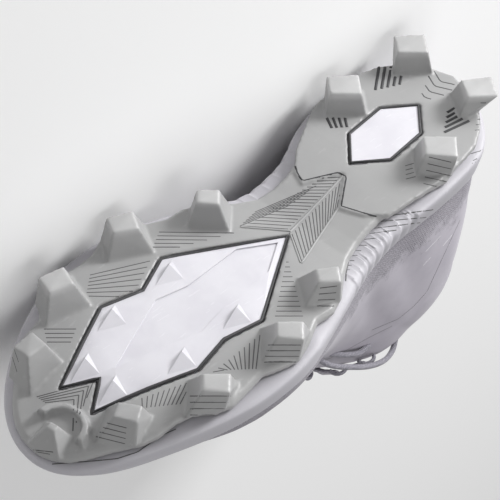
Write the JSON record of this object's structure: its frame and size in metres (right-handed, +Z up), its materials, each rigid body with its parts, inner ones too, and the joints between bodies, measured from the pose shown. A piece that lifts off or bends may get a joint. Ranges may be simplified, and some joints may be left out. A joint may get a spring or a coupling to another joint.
{
  "type": "american football cleat",
  "caption": "Low-cut american football cleat, a right shoe lying on its inner side, with moulded studs, a knit upper open at the collar, a rand, a tongue and crossed laces.",
  "frame": {"origin": "centre of the bounding box's underside, on the floor that the shoe lies on", "axes": "+Z up from the floor and out of the shoe's outer side, +Y from the heel towards the toe, +X towards the sole"},
  "size_m": [0.1548, 0.281, 0.1068],
  "materials": {
    "sole_rubber": "satin",
    "rand_rubber": "satin",
    "insert_plastic": "gloss",
    "knit_upper": "matte",
    "lining": "matte",
    "lace_cord": "matte"
  },
  "bodies": {
    "root": {"outsole": "sole_rubber", "forefoot_insert": "insert_plastic", "heel_insert": "insert_plastic", "midsole": "rand_rubber", "upper": "knit_upper", "insole": "lining", "tongue": "knit_upper", "lace": "lace_cord", "lace_loop_outer_1": "lace_cord", "lace_loop_inner_1": "lace_cord", "lace_loop_outer_2": "lace_cord", "lace_loop_inner_2": "lace_cord", "lace_loop_outer_3": "lace_cord", "lace_loop_inner_3": "lace_cord", "lace_loop_outer_4": "lace_cord", "lace_loop_inner_4": "lace_cord", "lace_loop_outer_5": "lace_cord", "lace_loop_inner_5": "lace_cord", "lace_loop_outer_6": "lace_cord", "lace_loop_inner_6": "lace_cord"}
  },
  "joints": []
}
